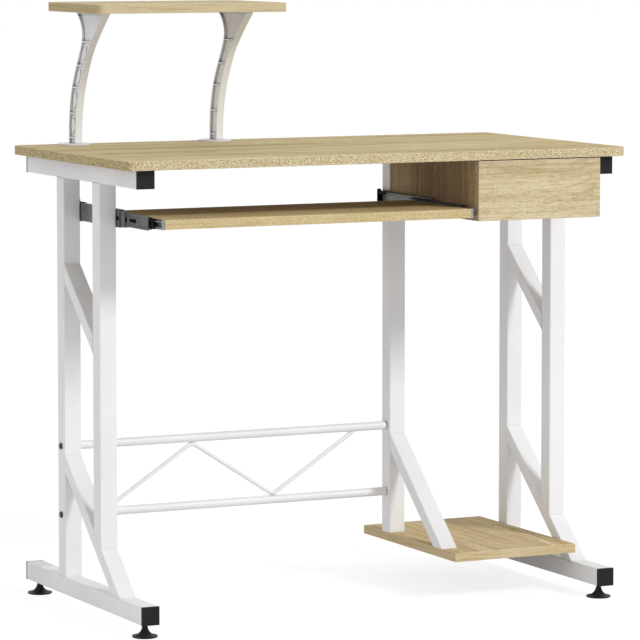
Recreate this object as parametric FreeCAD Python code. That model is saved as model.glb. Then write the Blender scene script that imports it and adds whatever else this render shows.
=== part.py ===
"""Computer desk: a panel desktop on two welded tube frames, with a middle leg, a truss between
the rear posts, a keyboard tray on three-part ball slides, a drawer, a tower board and a raised
shelf on two curved brackets. Millimetres, +Z up, +X right, the user sits at -Y.
The origin is on the floor under the middle of the desk."""
import FreeCAD, Part
import math
import os

os.makedirs("parts", exist_ok=True)
V = FreeCAD.Vector
UP = V(0, 0, 1)
BACK = V(0, 1, 0)
RIGHT = V(1, 0, 0)

# Desktop board
desk_width = 904.0
desk_depth = 494.0
desk_height = 760.0
board_thick = 15.0
desk_corner_radius = 15.0
board_edge_round = 0.8

# Side frames of square tube
tube = 30.0
tube_wall = 1.5
tube_round = 2.2
frame_inset = 20.5
top_rail_inset = 12.0
foot_rail_overhang = 1.0
rear_post_y = 87.0
front_post_y = -64.0

# Diagonal braces of flat tube
brace_depth = 22.0
brace_wall = 1.5
brace_round = 2.2
brace_angle = 41.8
upper_brace_top = 573.0
lower_brace_top = 256.0

# Plastic end caps of the rails
cap_thick = 5.0
cap_plug_depth = 11.0
cap_plug_wall = 2.5
cap_fit = 0.15
cap_edge_round = 1.2

# Levelling feet
foot_rail_height = 22.0
foot_inset = 25.0
foot_radius = 20.5
foot_rim_height = 2.8
foot_rim_bevel = 0.9
foot_bell_height = 17.0
foot_neck_radius = 4.6
foot_bell_dip = 2.9
foot_stud_radius = 3.9
foot_stud_reach = 18.0
foot_stud_fit = 0.08
nut_across_flats = 13.0
nut_height = 6.5

# Middle leg and tower board
bay_width = 230.0
leg_plate_width = 60.0
leg_plate_thick = 3.0
leg_plug_depth = 12.0
leg_plug_fit = 0.15
tower_board_top = 83.6
tower_board_depth = 340.0

# Truss between the rear posts
rod_radius = 7.3
rod_end_taper = 1.8
truss_top = 269.2
truss_bottom = 154.6
zigzag_radius = 3.5
zigzag_start = 57.0
zigzag_pitch = 150.0
zigzag_legs = 3
zigzag_bend = 12.0

# Keyboard tray
tray_depth = 227.0
tray_top = 665.7
tray_drawn = 152.0
tray_spare_travel = 13.0
tray_overhang = 1.0

# Ball slides of the tray, measured inward from the face that they are screwed to
slide_length = 191.0
slide_nose = 13.0
slide_thick = 13.0
slide_height = 29.0
slide_sheet = 1.2
slide_outer_flange = 9.0
slide_middle_web = 2.2
slide_middle_height = 22.8
slide_middle_flange = 9.5
slide_inner_flange = 5.5
slide_inner_height = 16.5
slide_inner_tab = 4.8
slide_groove_width = 1.6
slide_groove_depth = 0.6
slide_groove_height = 6.6
middle_travel_share = 0.73
ball_fit = 0.1
outer_ball_radius = 1.6
outer_ball_row = 5.2
outer_cage_web = 1.4
outer_cage_sheet = 0.6
outer_cage_flange = 7.8
outer_cage_gap = 0.2
outer_cage_margin = 2.0
outer_cage_nose = 24.0
outer_cage_balls = 6
inner_ball_radius = 1.5
inner_ball_row = 7.6
inner_cage_web = 3.9
inner_cage_sheet = 0.8
inner_cage_flange = 10.0
inner_cage_margin = 1.5
inner_cage_balls = 12
cage_end_land = 6.0
middle_hole_radius = 3.2

# Holes of the middle members: place along the member, then radius and slot as shares of the hole's radius
middle_hole_shares = ((0.298, 1.0, 1.8), (0.366, 1.0, 0.4), (0.466, 1.35, 0.0))

# Plastic stops on the rear ends of the outer slide members
stop_length = 32.0
stop_wall = 1.0
stop_end_gap = 0.3
stop_end_wall = 2.0
stop_lip = 5.0
stop_tab_length = 6.0
stop_tab_height = 3.5
stop_tab_width = 5.0

# Drawer cabinet and drawer
cabinet_height = 100.0
panel_thick = 15.0
drawer_front_gap = 1.5
drawer_side_gap = 0.8
drawer_close_gap = 1.0
drawer_side_thick = 12.0
drawer_side_height = 72.0
drawer_side_depth = 262.0
drawer_side_lift = 12.0
drawer_bottom_thick = 4.0
drawer_groove_depth = 5.0
drawer_groove_lift = 8.0
drawer_groove_fit = 0.2

# Ball runners of the drawer, measured inward from the cabinet panels
runner_length = 250.0
runner_thick = 12.5
runner_height = 27.0
runner_outer_flange = 9.5
runner_inner_flange = 4.4
runner_inner_height = 20.0
runner_ball_radius = 1.6
runner_ball_row = 6.8
runner_cage_web = 2.2
runner_cage_sheet = 0.6
runner_cage_flange = 9.6
runner_cage_length = 64.0
runner_cage_balls = 6
runner_front_gap = 2.0

# Raised shelf
shelf_width = 344.0
shelf_depth = 228.0
shelf_corner_radius = 16.0
shelf_left_inset = 56.0
shelf_back_inset = 15.0

# Curved brackets of the shelf; each share pair is a height share and a share of the forward reach
bracket_spacing = 260.0
bracket_back_inset = 35.0
bracket_height = 225.0
bracket_reach = 85.0
bracket_thick = 12.0
bracket_flange_radius = 27.75
bracket_flange_thick = 3.0
bracket_screw_circle = 20.0
bracket_screws = 3
bracket_web = 3.6
bracket_front_wall = 2.0
bracket_rear_wall = 1.6
bracket_top_wall = 4.0
bracket_rib = 2.2
bracket_leaf_height = 1.8
bracket_leaf_bulge = 7.5
bracket_leaf_gap = 6.0
bracket_leaf_share = 0.6
bracket_pin_radius = 3.0
bracket_pin_height = 8.0
bracket_pin_shares = (0.5, 1.35)
bracket_rib_shares = (0.056, 0.238, 0.433, 0.6, 0.778)
bracket_front_shares = ((0.0, 0.25), (0.236, 0.294), (0.431, 0.447), (0.6, 0.682), (0.738, 0.953),
                        (0.782, 1.07), (0.853, 1.27), (0.907, 1.435), (0.956, 1.588), (0.982, 1.67))
bracket_nose_share = 1.682
bracket_back_shares = ((1.0, 0.294), (0.938, 0.488), (0.867, 0.594), (0.8, 0.6), (0.733, 0.53),
                       (0.596, 0.306), (0.431, 0.071), (0.236, -0.065), (0.0, -0.09))

# Wood screws, bolts and dowels
screw_radius = 2.0
screw_head_radius = 3.8
screw_head_height = 2.2
screw_grip = 10.0
bolt_radius = 3.0
bolt_head_radius = 5.4
bolt_head_height = 3.2
bolt_grip = 12.0
dowel_radius = 3.0
dowel_reach = 8.0
dowel_inset = 40.0
pilot_fit = 0.05
top_screw_inset = 55.0

# Levels and planes that follow from the sizes
desk_under = desk_height - board_thick
rail_under = desk_under - tube
foot_rail_top = foot_rail_height + tube
outer_x = desk_width / 2 - frame_inset
inner_x = outer_x - tube
post_x = outer_x - tube / 2
rear_post_front = rear_post_y - tube / 2
rear_post_back = rear_post_y + tube / 2
front_post_front = front_post_y - tube / 2
front_post_back = front_post_y + tube / 2
top_rail_end = desk_depth / 2 - top_rail_inset - cap_thick
foot_rail_end = desk_depth / 2 + foot_rail_overhang - cap_thick
foot_y = desk_depth / 2 + foot_rail_overhang - foot_inset
stud_hole = foot_stud_radius + foot_stud_fit
bay_left = inner_x - bay_width
middle_post_x = bay_left + tube / 2
tower_board_under = tower_board_top - board_thick
tower_board_mid = tower_board_top - board_thick / 2
slope = math.tan(math.radians(brace_angle))
brace_rise = brace_depth / math.cos(math.radians(brace_angle))
desk_front = -desk_depth / 2
middle_brace_end_y = rear_post_front - (lower_brace_top - brace_rise / 2 - tower_board_top) / slope
tray_mid = tray_top - board_thick / 2
tray_left = -inner_x + slide_thick
tray_right = bay_left - slide_thick
slide_front = front_post_front - slide_nose
slide_rear = slide_front + slide_length
tray_front = slide_front - tray_drawn - tray_overhang
middle_drawn = tray_drawn * middle_travel_share
cabinet_under = desk_under - cabinet_height
cabinet_mid = desk_under - cabinet_height / 2
drawer_front_back = desk_front + panel_thick
cabinet_front = drawer_front_back + drawer_close_gap
drawer_top = desk_under - drawer_front_gap
drawer_under = cabinet_under + drawer_side_lift
drawer_left = bay_left + panel_thick + runner_thick
drawer_right = inner_x - panel_thick - runner_thick
drawer_rear = drawer_front_back + drawer_side_depth
drawer_side_mid = drawer_under + drawer_side_height / 2
runner_front = cabinet_front + runner_front_gap
runner_rear = runner_front + runner_length
shelf_under = desk_height + bracket_height
shelf_height = shelf_under + board_thick
shelf_centre_x = shelf_left_inset + shelf_width / 2 - desk_width / 2
shelf_centre_y = desk_depth / 2 - shelf_back_inset - shelf_depth / 2
bracket_y = desk_depth / 2 - bracket_back_inset
bracket_xs = (shelf_centre_x - bracket_spacing / 2, shelf_centre_x + bracket_spacing / 2)
bracket_pin_ys = [bracket_y - share * bracket_reach for share in bracket_pin_shares]


# Shapes that everything is made of
def box(x0, x1, y0, y1, z0, z1):
    """Box between two corners given in any order."""
    low = V(min(x0, x1), min(y0, y1), min(z0, z1))
    return Part.makeBox(abs(x1 - x0), abs(y1 - y0), abs(z1 - z0), low)


def cylinder(radius, start, direction, length):
    return Part.makeCylinder(radius, length, start, direction)


def upright_edges(shape):
    """Straight edges of a shape that run along Z."""
    return [e for e in shape.Edges if len(e.Vertexes) == 2 and e.BoundBox.ZLength > e.Length / 2]


def level_edges(shape):
    """Edges of a shape that lie in a level plane."""
    return [e for e in shape.Edges if e.BoundBox.ZLength < e.Length / 100]


def rounded_bar(width, depth, length, radius):
    """Bar along Z with rounded long edges, centred on the Z axis, from zero up."""
    bar = box(-width / 2, width / 2, -depth / 2, depth / 2, 0, length)
    return bar.makeFillet(radius, upright_edges(bar))


def hollow_bar(width, depth, length, wall, radius):
    bore = rounded_bar(width - 2 * wall, depth - 2 * wall, length, radius - wall)
    return rounded_bar(width, depth, length, radius).cut(bore)


def laid(shape, start, direction):
    """Turn a shape built along Z about the X axis, to run along a direction in the YZ plane."""
    turned = shape.copy()
    turned.rotate(V(0, 0, 0), RIGHT, math.degrees(math.atan2(-direction.y, direction.z)))
    turned.translate(start)
    return turned


def board(x0, x1, y0, y1, z0, z1, corner=0.0):
    """Board with rounded plan corners and softened top and bottom edges."""
    slab = box(x0, x1, y0, y1, z0, z1)
    if corner > 0:
        slab = slab.makeFillet(corner, upright_edges(slab))
    return slab.makeFillet(board_edge_round, level_edges(slab))


def side_profile(outline, x0, x1):
    """Solid from a closed outline of edges in the YZ plane, between two places along X."""
    face = Part.Face(Part.Wire(outline))
    face.translate(V(x0, 0, 0))
    return face.extrude(V(x1 - x0, 0, 0))


# Fasteners, each with a spare that turns it into the hole it needs
def pan_bolt(seat, direction, grip, radius, head_radius, head_height, spare):
    """Domed head standing on the seat, with its shank along the direction."""
    top = seat - direction * head_height
    shank = cylinder(radius + spare, seat, direction, grip + spare)
    rim = cylinder(head_radius + spare, seat - direction * head_height / 2, direction, head_height / 2)
    dome = Part.makeCone(head_radius * 2 / 3 + spare, head_radius + spare, head_height / 2, top, direction)
    return shank.fuse(rim).fuse(dome)


def frame_bolt(seat, direction, grip, spare):
    return pan_bolt(seat, direction, grip, bolt_radius, bolt_head_radius, bolt_head_height, spare)


def pan_screw(seat, direction, grip, spare):
    return pan_bolt(seat, direction, grip, screw_radius, screw_head_radius, screw_head_height, spare)


def flush_screw(seat, direction, sheet, grip, spare):
    """Countersunk screw whose head fills a sheet; the seat is on the sheet's open face."""
    head = Part.makeCone(screw_head_radius + spare, screw_radius + spare, sheet, seat, direction)
    return head.fuse(cylinder(screw_radius + spare, seat, direction, sheet + grip + spare))


def wood_screws(spare):
    """Screws of the fixed pieces: rails and middle plate to the desktop, brackets, slides and runners."""
    screws = []
    for x in (-post_x, post_x):
        for y in (top_screw_inset - top_rail_end, 0, top_rail_end - top_screw_inset):
            screws.append(pan_screw(V(x, y, rail_under), UP, tube + screw_grip, spare))
    plate_y = rear_post_back + (leg_plate_width - tube) / 2
    plate_grip = leg_plate_thick + screw_grip
    for x in (middle_post_x - tube / 2, middle_post_x + tube / 2):
        screws.append(pan_screw(V(x, plate_y, desk_under - leg_plate_thick), UP, plate_grip, spare))
    for x in bracket_xs:
        for k in range(bracket_screws):
            turn = math.radians(90 + 360 * k / bracket_screws)
            spot = V(math.cos(turn), math.sin(turn), 0) * bracket_screw_circle
            seat = V(x, bracket_y, desk_height + bracket_flange_thick) + spot
            screws.append(flush_screw(seat, -UP, bracket_flange_thick, screw_grip, spare))
    for x, inward in ((-inner_x, 1), (bay_left, -1)):
        for y in (front_post_y, rear_post_y):
            seat = V(x + inward * slide_sheet, y, tray_mid)
            screws.append(flush_screw(seat, RIGHT * -inward, slide_sheet, screw_grip, spare))
    for x, inward in ((bay_left + panel_thick, 1), (inner_x - panel_thick, -1)):
        for y in (runner_front + dowel_inset, runner_rear - dowel_inset):
            seat = V(x + inward * slide_sheet, y, drawer_side_mid)
            screws.append(flush_screw(seat, RIGHT * -inward, slide_sheet, screw_grip, spare))
    return screws


def frame_bolts(spare):
    """Bolts through the tubes into the truss rods, boards, panels and plugs."""
    through = tube + bolt_grip
    bolts = []
    for z in (truss_bottom, truss_top):
        bolts.append(frame_bolt(V(-outer_x, rear_post_y, z), RIGHT, through, spare))
        bolts.append(frame_bolt(V(bay_left + tube, rear_post_y, z), -RIGHT, through, spare))
    brace_y = rear_post_front - (lower_brace_top - brace_rise / 2 - tower_board_mid) / slope
    for y in (rear_post_y, brace_y):
        bolts.append(frame_bolt(V(outer_x, y, tower_board_mid), -RIGHT, through, spare))
    for y in (rear_post_y, middle_brace_end_y):
        grip = board_thick + leg_plug_depth / 2
        bolts.append(frame_bolt(V(middle_post_x, y, tower_board_under), UP, grip, spare))
    for z in (cabinet_mid - cabinet_height / 4, cabinet_mid + cabinet_height / 4):
        bolts.append(frame_bolt(V(outer_x, front_post_y, z), -RIGHT, through, spare))
        bolts.append(frame_bolt(V(bay_left + panel_thick / 2, rear_post_back, z), -BACK, through, spare))
    return bolts


def cabinet_dowels(spare):
    """Dowels standing in the top edges of the cabinet panels, up into the desktop."""
    dowels = []
    for x in (bay_left + panel_thick / 2, inner_x - panel_thick / 2):
        for y in (cabinet_front + dowel_inset, rear_post_front - dowel_inset):
            low = V(x, y, desk_under - dowel_reach - spare)
            dowels.append(cylinder(dowel_radius + spare, low, UP, 2 * (dowel_reach + spare)))
    return dowels


fixed_holes = wood_screws(pilot_fit) + frame_bolts(pilot_fit) + cabinet_dowels(pilot_fit)


def drilled(shape, holes):
    """Cut every hole that reaches a shape."""
    for hole in holes:
        if shape.BoundBox.intersect(hole.BoundBox):
            shape = shape.cut(hole)
    return shape


def export(name, shapes, holes=()):
    """Write one node; several solids of one node stay separate."""
    cut = [drilled(shape, holes) for shape in shapes]
    whole = cut[0] if len(cut) == 1 else Part.makeCompound(cut)
    whole.exportStep("parts/" + name + ".step")


# Side frames and middle leg
def frame_tube(x, start_y, start_z, direction, length):
    return laid(hollow_bar(tube, tube, length, tube_wall, tube_round), V(x, start_y, start_z), direction)


def brace_bar(x, top, bar):
    """Lay a long bar on a brace's axis, whose upper side is at top on the rear post's front face."""
    forward = V(0, -math.cos(math.radians(brace_angle)), -math.sin(math.radians(brace_angle)))
    start = V(x, rear_post_front, top - brace_rise / 2) - forward * tube
    return laid(bar, start, forward)


def brace_length(y_low):
    return (rear_post_front - y_low) / math.cos(math.radians(brace_angle)) + 2 * tube


def brace(x, top, y_low, z_low):
    """Flat tube from the rear post's front face, forward and down, cut off at a place or a level."""
    bar = hollow_bar(tube, brace_depth, brace_length(y_low), brace_wall, brace_round)
    space = box(x - tube, x + tube, y_low, rear_post_front, z_low, top + tube)
    return brace_bar(x, top, bar).common(space)


def brace_upper_side(y, top):
    """Height of a brace's upper side at y."""
    return top - (rear_post_front - y) * slope


def lower_brace_foot(level):
    """Place along Y where the lower brace's upper side meets a level, and a tube's width beyond."""
    return rear_post_front - (lower_brace_top - level) / slope - tube


def build_side_frame(side, x):
    """One welded frame: two rails, two posts and two braces."""
    along = 2 * top_rail_end
    top_rail = frame_tube(x, -top_rail_end, desk_under - tube / 2, BACK, along)
    foot_rail = frame_tube(x, -foot_rail_end, foot_rail_height + tube / 2, BACK, 2 * foot_rail_end)
    studs = [cylinder(stud_hole, V(x, y, foot_rail_height), UP, tube / 2) for y in (-foot_y, foot_y)]
    post_height = rail_under - foot_rail_top
    rear_post = frame_tube(x, rear_post_y, foot_rail_top, UP, post_height)
    front_post = frame_tube(x, front_post_y, foot_rail_top, UP, post_height)
    behind = front_post_back + tube
    ahead = front_post_front - tube
    corners = [
        V(0, ahead, brace_upper_side(ahead, lower_brace_top)),
        V(0, behind, brace_upper_side(behind, lower_brace_top)),
        V(0, behind, desk_under),
        V(0, ahead, desk_under),
    ]
    above_brace = side_profile(Part.makePolygon(corners + corners[:1]).Edges, x - tube, x + tube)
    upper = brace(x, upper_brace_top, front_post_back, foot_rail_top)
    lower = brace(x, lower_brace_top, lower_brace_foot(foot_rail_top), foot_rail_top)
    export(side + "_top_rail", [top_rail], fixed_holes)
    export(side + "_foot_rail", [drilled(foot_rail, studs)])
    export(side + "_rear_post", [rear_post], fixed_holes)
    export(side + "_front_post", [front_post.common(above_brace)], fixed_holes)
    export(side + "_upper_brace", [upper])
    export(side + "_lower_brace", [lower], fixed_holes)


def build_middle_leg():
    """Post, brace, top plate, and the plugs that take the tower board's bolts."""
    post_height = desk_under - leg_plate_thick - tower_board_top
    post = frame_tube(middle_post_x, rear_post_y, tower_board_top, UP, post_height)
    y_low = lower_brace_foot(tower_board_top)
    diagonal = brace(middle_post_x, lower_brace_top, y_low, tower_board_top)
    half = leg_plate_width / 2
    plate_back = rear_post_front + leg_plate_width
    plate = box(middle_post_x - half, middle_post_x + half, rear_post_front, plate_back,
                desk_under - leg_plate_thick, desk_under)
    slack = tube_wall + leg_plug_fit
    plug_top = tower_board_top + leg_plug_depth
    inside = tube / 2 - slack
    x0 = middle_post_x - inside
    x1 = middle_post_x + inside
    post_plug = box(x0, x1, rear_post_y - inside, rear_post_y + inside, tower_board_top, plug_top)
    post_plug = post_plug.makeFillet(tube_round, upright_edges(post_plug))
    core = rounded_bar(tube - 2 * slack, brace_depth - 2 * slack, brace_length(y_low), brace_round)
    space = box(bay_left, bay_left + tube, y_low, rear_post_front, tower_board_top, plug_top)
    brace_plug = brace_bar(middle_post_x, lower_brace_top, core).common(space)
    export("middle_post", [post], fixed_holes)
    export("middle_brace", [diagonal])
    export("middle_top_plate", [plate], fixed_holes)
    export("middle_leg_plugs", [post_plug, brace_plug], fixed_holes)


# End caps and levelling feet
def end_cap(x, y, z, outward):
    """Square cap on a rail's end: a plate as large as the tube and a hollow plug inside it."""
    half = tube / 2
    far = y + outward * cap_thick
    plate = box(x - half, x + half, y, far, z - half, z + half)
    rim = [e for e in plate.Edges if abs(e.CenterOfMass.y - far) < cap_thick / 10]
    plate = plate.makeFillet(cap_edge_round, rim)
    plug_half = half - tube_wall - cap_fit
    core_half = plug_half - cap_plug_wall
    deep = y - outward * cap_plug_depth
    plug = box(x - plug_half, x + plug_half, y, deep, z - plug_half, z + plug_half)
    plug = plug.makeFillet(tube_round, [e for e in plug.Edges if e.BoundBox.YLength > e.Length / 2])
    core = box(x - core_half, x + core_half, y, deep, z - core_half, z + core_half)
    return plate.fuse(plug.cut(core))


def levelling_foot(x, y):
    """Bell shaped foot with the stud that screws up into the rail."""
    rim = V(foot_radius, 0, foot_rim_height)
    neck = V(foot_neck_radius, 0, foot_bell_height)
    dip = (rim + neck) * 0.5 - V(foot_bell_dip, 0, foot_bell_dip)
    base = [
        V(0, 0, foot_bell_height),
        V(0, 0, 0),
        V(foot_radius - foot_rim_bevel, 0, 0),
        V(foot_radius, 0, foot_rim_bevel),
        rim,
    ]
    flare = Part.Arc(rim, dip, neck).toShape()
    closing = Part.LineSegment(neck, base[0]).toShape()
    wire = Part.Wire(Part.makePolygon(base).Edges + [flare, closing])
    bell = Part.Face(wire).revolve(V(0, 0, 0), UP, 360)
    reach = foot_rail_height - foot_bell_height + foot_stud_reach
    foot = bell.fuse(cylinder(foot_stud_radius, V(0, 0, foot_bell_height), UP, reach))
    foot.translate(V(x, y, 0))
    return foot


def hex_nut(x, y):
    corner = nut_across_flats / math.sqrt(3)
    base = foot_rail_height + tube_wall
    turns = [math.radians(60 * k) for k in range(7)]
    points = [V(x + corner * math.cos(a), y + corner * math.sin(a), base) for a in turns]
    prism = Part.Face(Part.makePolygon(points)).extrude(UP * nut_height)
    return prism.cut(cylinder(stud_hole, V(x, y, base), UP, nut_height))


def build_caps_and_feet():
    top_caps = []
    foot_caps = []
    nuts = []
    for side, x in (("left", -post_x), ("right", post_x)):
        for end, outward in (("front", -1), ("rear", 1)):
            top_caps.append(end_cap(x, outward * top_rail_end, desk_under - tube / 2, outward))
            foot_caps.append(end_cap(x, outward * foot_rail_end, foot_rail_height + tube / 2, outward))
            export(side + "_" + end + "_levelling_foot", [levelling_foot(x, outward * foot_y)])
            nuts.append(hex_nut(x, outward * foot_y))
    export("top_rail_end_caps", top_caps)
    export("foot_rail_end_caps", foot_caps)
    export("foot_nuts", nuts)


# Truss
def truss_rod(z):
    """Rod between the left rear post and the middle post, tapered where it meets them."""
    x0 = -inner_x
    x1 = bay_left
    straight = cylinder(rod_radius, V(x0 + rod_end_taper, rear_post_y, z), RIGHT, x1 - x0 - 2 * rod_end_taper)
    tip = rod_radius - rod_end_taper
    left = Part.makeCone(tip, rod_radius, rod_end_taper, V(x0, rear_post_y, z), RIGHT)
    right = Part.makeCone(rod_radius, tip, rod_end_taper, V(x1 - rod_end_taper, rear_post_y, z), RIGHT)
    return straight.fuse(left).fuse(right)


def zigzag_rod():
    """Thin bent rod between the two truss rods, touching them where it turns."""
    low = truss_bottom + rod_radius + zigzag_radius
    high = truss_top - rod_radius - zigzag_radius
    angle = math.atan2(high - low, zigzag_pitch)
    overshoot = zigzag_bend * (1 / math.cos(angle) - 1)
    x0 = -inner_x + zigzag_start
    points = []
    for k in range(zigzag_legs + 1):
        z = high + overshoot if k % 2 else low - overshoot
        points.append(V(x0 + k * zigzag_pitch, rear_post_y, z))
    first = (points[1] - points[0]).normalize()
    last = (points[-1] - points[-2]).normalize()
    points[0] = points[0] - first * rod_radius
    points[-1] = points[-1] + last * rod_radius
    edges = []
    start = points[0]
    for before, corner, after in zip(points, points[1:], points[2:]):
        into = (corner - before).normalize()
        out = (after - corner).normalize()
        half_turn = into.getAngle(out) / 2
        setback = zigzag_bend * math.tan(half_turn)
        enter = corner - into * setback
        leave = corner + out * setback
        inward = (out - into).normalize()
        middle = corner + inward * zigzag_bend * (1 / math.cos(half_turn) - 1)
        edges.append(Part.LineSegment(start, enter).toShape())
        edges.append(Part.Arc(enter, middle, leave).toShape())
        start = leave
    edges.append(Part.LineSegment(start, points[-1]).toShape())
    circle = Part.Wire(Part.Circle(points[0], first, zigzag_radius).toShape())
    rod = Part.Wire(edges).makePipeShell([circle], True, False)
    return rod.cut(truss_rod(truss_top)).cut(truss_rod(truss_bottom))


def build_truss():
    export("truss_top_rod", [truss_rod(truss_top)], fixed_holes)
    export("truss_bottom_rod", [truss_rod(truss_bottom)], fixed_holes)
    export("truss_zigzag_rod", [zigzag_rod()])


# Ball slides: every member is a channel, laid out inward from the face it is screwed to
def channel(face, inward, mid_z, web, web_half, flanges, flange_half, sheet, y0, y1):
    """Sheet channel along Y: a web at a depth and two flanges between two depths."""
    near, far = flanges
    low = mid_z - web_half
    high = mid_z + web_half
    member = box(face + inward * web, face + inward * (web + sheet), y0, y1, low, high)
    for up in (-1, 1):
        outer = mid_z + up * flange_half
        flange = box(face + inward * near, face + inward * far, y0, y1, outer, outer - up * sheet)
        member = member.fuse(flange)
    return member.removeSplitter()


def ball_row(face, inward, mid_z, depth, height, radius, count, y0, y1):
    """Balls above and below the middle of a slide, spread along a cage."""
    step = (y1 - y0) / (count - 1)
    balls = []
    for k in range(count):
        for up in (-1, 1):
            centre = V(face + inward * depth, y0 + k * step, mid_z + up * height)
            balls.append(Part.makeSphere(radius, centre))
    return balls


def cage_with_balls(cage, balls, radius):
    """Cage with a hole round each of its balls, and the balls."""
    for ball in balls:
        centre = ball.CenterOfMass
        hole = cylinder(radius + ball_fit, centre - UP * radius, UP, 2 * radius)
        cage = cage.cut(hole)
    return [cage] + balls


outer_flange_half = slide_height / 2
outer_ball_height = outer_flange_half - slide_sheet - ball_fit - outer_ball_radius
middle_flange_half = outer_ball_height - outer_ball_radius - ball_fit
inner_ball_height = middle_flange_half - slide_sheet - ball_fit - inner_ball_radius
inner_flange_half = inner_ball_height - inner_ball_radius - ball_fit
middle_travel = (tray_drawn + tray_spare_travel) * middle_travel_share
outer_cage_length = slide_length - middle_travel - outer_cage_margin
outer_cage_half = outer_flange_half - slide_sheet - outer_cage_gap
slide_faces = (("left", -inner_x, 1), ("right", bay_left, -1))


def middle_member(face, inward):
    """Middle member: a channel with two long grooves and some holes in its web."""
    y0 = slide_front - middle_drawn
    y1 = slide_rear - middle_drawn
    member = channel(face, inward, tray_mid, slide_middle_web, slide_middle_height / 2,
                     (slide_middle_web, slide_middle_flange), middle_flange_half, slide_sheet, y0, y1)
    bottom = face + inward * (slide_middle_web + slide_groove_depth)
    half = slide_groove_width / 2
    for z in (tray_mid - slide_groove_height, tray_mid + slide_groove_height):
        member = member.cut(box(face, bottom, y0, y1, z - half, z + half))
    beyond = slide_middle_web + 2 * slide_sheet
    for place, size, slot in middle_hole_shares:
        radius = size * middle_hole_radius
        reach = slot * middle_hole_radius
        y = y0 + place * slide_length
        low = tray_mid - radius
        high = tray_mid + radius
        for end in (y - reach, y + reach):
            member = member.cut(cylinder(radius, V(face, end, tray_mid), RIGHT * inward, beyond))
        if slot > 0:
            member = member.cut(box(face, face + inward * beyond, y - reach, y + reach, low, high))
    return member


def inner_member(face, inward):
    """Inner member: a channel whose front end is closed by a bent tab."""
    y0 = slide_front - tray_drawn
    y1 = slide_rear - tray_drawn
    half = slide_inner_height / 2
    member = channel(face, inward, tray_mid, slide_thick - slide_sheet, half,
                     (slide_inner_flange, slide_thick), inner_flange_half, slide_sheet, y0, y1)
    near = face + inward * (slide_thick - slide_inner_tab)
    tab = box(near, face + inward * slide_thick, y0, y0 + slide_sheet, tray_mid - half, tray_mid + half)
    return member.fuse(tab).removeSplitter()


def build_tray_slides():
    """Three-part slides: outer members on the posts, middle members, inner members on the tray."""
    outer_cages = []
    inner_cages = []
    stops = []
    slide_mid_y = (slide_front + slide_rear) / 2
    for side, face, inward in slide_faces:
        outer = channel(face, inward, tray_mid, 0, outer_flange_half, (0, slide_outer_flange),
                        outer_flange_half, slide_sheet, slide_front, slide_rear)
        export(side + "_slide_outer_member", [outer], fixed_holes)
        export(side + "_slide_middle_member", [middle_member(face, inward)])
        export(side + "_slide_inner_member", [inner_member(face, inward)], tray_holes)

        y0 = slide_mid_y - middle_drawn / 2 - outer_cage_length / 2
        y1 = y0 + outer_cage_length
        cage = channel(face, inward, tray_mid, outer_cage_web, outer_cage_half,
                       (outer_cage_web, outer_cage_flange), outer_cage_half, outer_cage_sheet,
                       y0 - outer_cage_nose, y1)
        balls = ball_row(face, inward, tray_mid, outer_ball_row, outer_ball_height, outer_ball_radius,
                         outer_cage_balls, y0 + cage_end_land, y1 - cage_end_land)
        outer_cages += cage_with_balls(cage, balls, outer_ball_radius)

        shift = (middle_drawn + tray_drawn) / 2
        y0 = slide_front + inner_cage_margin - shift
        y1 = slide_rear - inner_cage_margin - shift
        half = inner_ball_height + inner_cage_sheet / 2
        cage = channel(face, inward, tray_mid, inner_cage_web, half, (inner_cage_web, inner_cage_flange),
                       half, inner_cage_sheet, y0, y1)
        balls = ball_row(face, inward, tray_mid, inner_ball_row, inner_ball_height, inner_ball_radius,
                         inner_cage_balls, y0 + cage_end_land, y1 - cage_end_land)
        inner_cages += cage_with_balls(cage, balls, inner_ball_radius)
        stops.append(rear_stop(face, inward))
    export("slide_outer_ball_cages", outer_cages)
    export("slide_inner_ball_cages", inner_cages)
    export("slide_rear_stops", stops)


def rear_stop(face, inward):
    """Plastic stop that closes and wraps the rear end of an outer member, with a release tab on top."""
    half = outer_flange_half + stop_wall
    depth = slide_outer_flange + stop_wall
    y0 = slide_rear - stop_length + stop_end_wall
    closed = slide_rear + stop_end_gap
    y1 = closed + stop_end_wall
    shell = box(face, face + inward * depth, y0, y1, tray_mid - half, tray_mid + half)
    member = box(face, face + inward * slide_outer_flange, y0, closed,
                 tray_mid - outer_flange_half, tray_mid + outer_flange_half)
    mouth_half = half - stop_lip
    mouth = box(face, face + inward * depth, y0, closed, tray_mid - mouth_half, tray_mid + mouth_half)
    tab_x = face + inward * (depth - stop_tab_width)
    tab_z = tray_mid + half
    tab = box(tab_x, face + inward * depth, y1 - stop_tab_length, y1, tab_z, tab_z + stop_tab_height)
    return shell.fuse(tab).cut(member).cut(mouth)


def tray_screws(spare):
    """Countersunk screws through the inner members into the tray's edges."""
    screws = []
    for side, face, inward in slide_faces:
        for y in (slide_front - tray_drawn + dowel_inset, slide_rear - tray_drawn - dowel_inset):
            seat = V(face + inward * (slide_thick - slide_sheet), y, tray_mid)
            screws.append(flush_screw(seat, RIGHT * inward, slide_sheet, screw_grip, spare))
    return screws


tray_holes = tray_screws(pilot_fit)


def build_tray():
    tray_back = tray_front + tray_depth
    tray = board(tray_left, tray_right, tray_front, tray_back, tray_top - board_thick, tray_top)
    export("keyboard_tray", [tray], tray_holes)
    export("tray_screws", tray_screws(0.0))


# Drawer and its cabinet
runner_flange_half = runner_height / 2
runner_ball_height = runner_flange_half - slide_sheet - ball_fit - runner_ball_radius
runner_inner_half = runner_ball_height - runner_ball_radius - ball_fit
runner_faces = (("left", bay_left + panel_thick, 1), ("right", inner_x - panel_thick, -1))


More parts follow.
